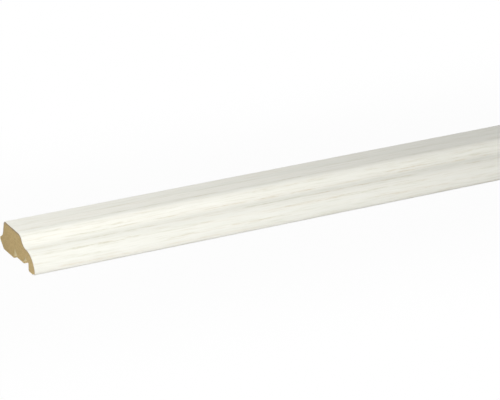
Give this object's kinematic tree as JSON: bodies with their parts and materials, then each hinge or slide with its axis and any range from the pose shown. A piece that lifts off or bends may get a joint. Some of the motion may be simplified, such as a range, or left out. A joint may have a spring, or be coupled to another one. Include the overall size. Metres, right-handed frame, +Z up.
{
  "type": "wall moulding",
  "caption": "Long MDF wall moulding with an ogee and ovolo face wrapped in white wood-grain foil, a blunt rear nub and a relieved, grooved back.",
  "frame": {"origin": "centre of the bounding box at the resting plane, halfway along the strip", "axes": "+X along the length, -Y towards the front nose, +Y towards the rear nub, +Z up out of the back"},
  "size_m": [2.6, 0.04, 0.015],
  "materials": {
    "mdf": "sawn and milled, bare",
    "decor_foil": "matt, white ash print"
  },
  "bodies": {
    "root": {"mdf_core": "mdf", "decor_foil": "decor_foil"}
  },
  "joints": []
}
